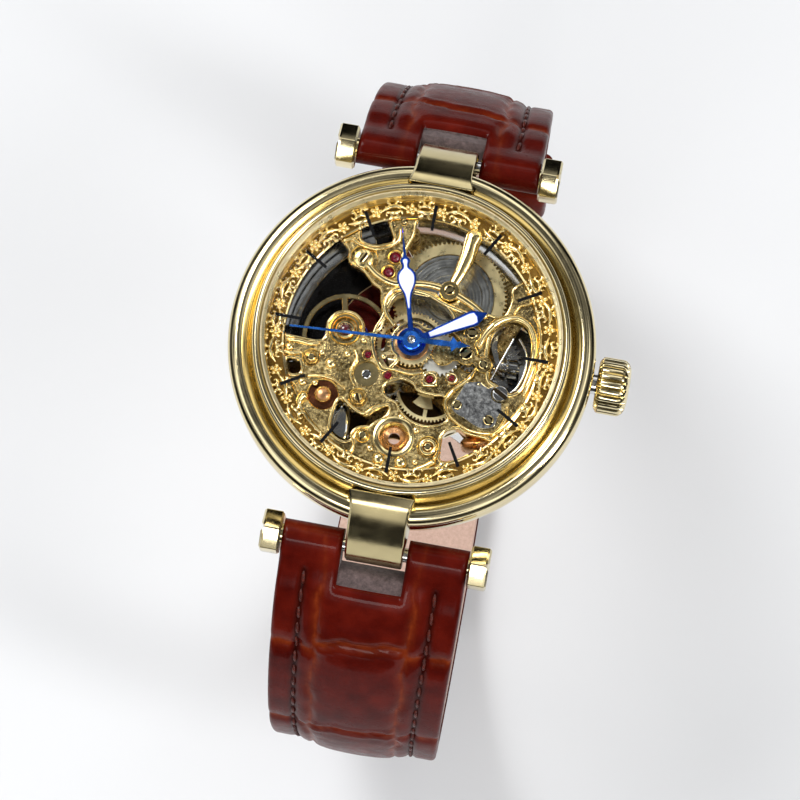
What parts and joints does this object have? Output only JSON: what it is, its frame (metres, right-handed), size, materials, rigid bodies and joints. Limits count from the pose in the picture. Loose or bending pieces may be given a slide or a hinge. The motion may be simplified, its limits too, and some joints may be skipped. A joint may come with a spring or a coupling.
{
  "type": "wristwatch",
  "caption": "Round gold skeleton wristwatch: open-worked hand-wound movement, blue hands, fluted crown, central lugs, hinged two-piece padded leather strap with pin buckle.",
  "frame": {"origin": "centre of the flat outer face of the case back", "axes": "+Z out of the dial, +Y towards 12 o'clock, +X towards the crown at 3 o'clock; the strap loop hangs below the case"},
  "size_m": [0.0418, 0.0744, 0.075],
  "materials": {
    "case_gold": "polished pale yellow gold",
    "plate_gold": "gilt, polished edges and engraving",
    "wheel_brass": "satin gilt brass",
    "steel": "brushed and polished",
    "blued_steel": "heat-blued gloss",
    "glass": "clear",
    "rubber": "satin",
    "leather": "glossy padded alligator grain",
    "lining": "matt smooth",
    "thread": "waxed",
    "ruby": "polished synthetic ruby",
    "lume": "matt white",
    "marker_black": "printed black"
  },
  "bodies": {
    "case": {"case_middle": "case_gold", "bezel": "case_gold", "crystal": "glass", "crystal_gasket": "rubber", "rehaut_ring": "case_gold", "engraved_ring": "plate_gold", "movement_ring": "steel", "case_back_ring": "case_gold", "case_back_glass": "glass", "lug_12": "case_gold", "lug_6": "case_gold", "crown_tube": "steel", "t_bar_12": "steel", "t_bar_6": "steel", "hex_screw_12_left": "case_gold", "hex_screw_12_right": "case_gold", "hex_screw_6_left": "case_gold", "hex_screw_6_right": "case_gold", "main_plate": "plate_gold", "barrel_arm": "plate_gold", "barrel_bridge": "plate_gold", "train_bridge": "plate_gold", "balance_cock": "plate_gold", "pallet_bridge": "plate_gold", "minute_train_cover": "plate_gold", "keyless_cover": "steel"},
    "barrel": {"barrel_drum": "wheel_brass", "mainspring": "steel"},
    "arbor": {"barrel_arbor": "steel", "ratchet_wheel": "steel"},
    "crown_wheel_body": {"crown_wheel": "steel"},
    "click_body": {"click": "steel"},
    "centre": {"centre_wheel": "wheel_brass"},
    "third": {"third_wheel": "wheel_brass"},
    "seconds": {"fourth_wheel": "wheel_brass", "second_hand": "blued_steel"},
    "escape": {"escape_wheel": "steel"},
    "fork": {"pallet_fork": "steel"},
    "balance": {"balance_wheel": "wheel_brass", "hairspring": "steel"},
    "minutes": {"cannon_pinion": "steel", "minute_hand": "blued_steel"},
    "minute_work": {"minute_wheel": "steel"},
    "hours": {"hour_wheel": "steel", "hour_hand": "blued_steel"},
    "setting": {"setting_wheel": "steel"},
    "stem_slide": {"crown_gasket": "rubber"},
    "crown_body": {"crown": "case_gold", "winding_stem": "steel"},
    "winding": {"winding_pinion": "steel"},
    "clutch": {"clutch_wheel": "steel"},
    "setting_lever_body": {"setting_lever": "steel"},
    "yoke_body": {"yoke": "steel"},
    "strap_12_body": {"strap_12": "leather", "keeper_fixed": "leather", "buckle_spring_bar": "steel"},
    "strap_6_body": {"strap_6": "leather"},
    "loose_keeper": {"keeper_loose": "leather"},
    "buckle": {"buckle_frame": "case_gold"},
    "tongue": {"buckle_tongue": "case_gold"}
  },
  "joints": [
    {"name": "second_hand_turn", "type": "hinge", "parent": "case", "child": "seconds", "pos_m": [0, 0, 0.006], "axis": [0, 0, -1], "continuous": true},
    {"name": "third_wheel_turn", "type": "hinge", "parent": "case", "child": "third", "pos_m": [0.0025, -0.0034, 0.005], "axis": [0, 0, -1], "continuous": true},
    {"name": "centre_wheel_turn", "type": "hinge", "parent": "case", "child": "centre", "pos_m": [0, 0, 0.006], "axis": [0, 0, -1], "continuous": true},
    {"name": "barrel_turn", "type": "hinge", "parent": "case", "child": "barrel", "pos_m": [0.00285, 0.00605, 0.005], "axis": [0, 0, -1], "continuous": true},
    {"name": "escape_wheel_turn", "type": "hinge", "parent": "case", "child": "escape", "pos_m": [-0.0018, -0.0038, 0.005], "axis": [0, 0, -1], "continuous": true},
    {"name": "minute_hand_turn", "type": "hinge", "parent": "case", "child": "minutes", "pos_m": [0, 0, 0.008], "axis": [0, 0, -1], "continuous": true},
    {"name": "minute_wheel_turn", "type": "hinge", "parent": "case", "child": "minute_work", "pos_m": [0.003, -0.0005, 0.008], "axis": [0, 0, -1], "continuous": true},
    {"name": "hour_hand_turn", "type": "hinge", "parent": "case", "child": "hours", "pos_m": [0, 0, 0.0084], "axis": [0, 0, -1], "continuous": true},
    {"name": "setting_wheel_turn", "type": "hinge", "parent": "case", "child": "setting", "pos_m": [0.00616, -0.00082, 0.0078], "axis": [0, 0, -1], "continuous": true},
    {"name": "pallet_fork_swing", "type": "hinge", "parent": "case", "child": "fork", "pos_m": [-0.0042, -0.002, 0.0056], "axis": [0, 0, 1], "range_deg": [-5, 5]},
    {"name": "balance_swing", "type": "hinge", "parent": "case", "child": "balance", "pos_m": [-0.007, 0.0002, 0.0048], "axis": [0, 0, 1], "range_deg": [-270, 270], "stiffness_Nm_per_rad": 0.0000003, "deforming": ["hairspring"]},
    {"name": "crown_pull", "type": "slide", "parent": "case", "child": "stem_slide", "axis": [1, 0, 0], "range_m": [0, 0.001]},
    {"name": "crown_turn", "type": "hinge", "parent": "stem_slide", "child": "crown_body", "pos_m": [0.02, 0, 0.0047], "axis": [-1, 0, 0], "continuous": true},
    {"name": "winding_pinion_turn", "type": "hinge", "parent": "case", "child": "winding", "pos_m": [0.0106, 0, 0.0047], "axis": [-1, 0, 0], "continuous": true},
    {"name": "crown_wheel_turn", "type": "hinge", "parent": "case", "child": "crown_wheel_body", "pos_m": [0.0084, 0.0006, 0.00315], "axis": [0, 0, -1], "continuous": true},
    {"name": "barrel_arbor_turn", "type": "hinge", "parent": "case", "child": "arbor", "pos_m": [0.00285, 0.00605, 0.005], "axis": [0, 0, -1], "continuous": true},
    {"name": "click_lift", "type": "hinge", "parent": "case", "child": "click_body", "pos_m": [-0.00312, 0.00755, 0.00315], "axis": [0, 0, 1], "range_deg": [0, 14], "stiffness_Nm_per_rad": 0.00002, "springref_deg": -5.73},
    {"name": "clutch_slide", "type": "slide", "parent": "crown_body", "child": "clutch", "axis": [1, 0, 0], "range_m": [-0.0017, 0]},
    {"name": "setting_lever_turn", "type": "hinge", "parent": "case", "child": "setting_lever_body", "pos_m": [0.011, -0.0039, 0.0062], "axis": [0, 0, -1], "range_deg": [0, 16]},
    {"name": "yoke_turn", "type": "hinge", "parent": "case", "child": "yoke_body", "pos_m": [0.0082, 0.0036, 0.0059], "axis": [0, 0, -1], "range_deg": [0, 10]},
    {"name": "strap_12_hinge", "type": "hinge", "parent": "case", "child": "strap_12_body", "pos_m": [0, 0.02097, 0.00305], "axis": [1, 0, 0], "range_deg": [0, 60]},
    {"name": "strap_6_hinge", "type": "hinge", "parent": "case", "child": "strap_6_body", "pos_m": [0, -0.02097, 0.00305], "axis": [-1, 0, 0], "range_deg": [0, 60]},
    {"name": "keeper_slide", "type": "slide", "parent": "strap_12_body", "child": "loose_keeper", "axis": [0, -0.3932, -0.9194], "range_m": [-0.002, 0.002]},
    {"name": "buckle_hinge", "type": "hinge", "parent": "strap_12_body", "child": "buckle", "pos_m": [0, 0.02036, -0.05412], "axis": [1, 0, 0], "range_deg": [-60, 60]},
    {"name": "tongue_hinge", "type": "hinge", "parent": "buckle", "child": "tongue", "pos_m": [0, 0.02036, -0.05412], "axis": [1, 0, 0], "range_deg": [0, 70]}
  ],
  "couplings": [
    {"joint": "third_wheel_turn", "follows": "second_hand_turn", "ratio": -0.13333},
    {"joint": "centre_wheel_turn", "follows": "second_hand_turn", "ratio": 0.016667},
    {"joint": "barrel_turn", "follows": "second_hand_turn", "ratio": -0.0020833},
    {"joint": "escape_wheel_turn", "follows": "second_hand_turn", "ratio": -10},
    {"joint": "minute_hand_turn", "follows": "second_hand_turn", "ratio": 0.016667},
    {"joint": "minute_wheel_turn", "follows": "second_hand_turn", "ratio": -0.0055556},
    {"joint": "hour_hand_turn", "follows": "second_hand_turn", "ratio": 0.0013889},
    {"joint": "setting_wheel_turn", "follows": "second_hand_turn", "ratio": 0.013889},
    {"joint": "winding_pinion_turn", "follows": "crown_turn", "ratio": 1},
    {"joint": "crown_wheel_turn", "follows": "crown_turn", "ratio": 0.46667},
    {"joint": "barrel_arbor_turn", "follows": "crown_turn", "ratio": -0.29167},
    {"joint": "clutch_slide", "follows": "crown_pull", "ratio": -1.6},
    {"joint": "setting_lever_turn", "follows": "crown_pull", "rad_per_m": 262},
    {"joint": "yoke_turn", "follows": "crown_pull", "rad_per_m": 164.5}
  ]
}
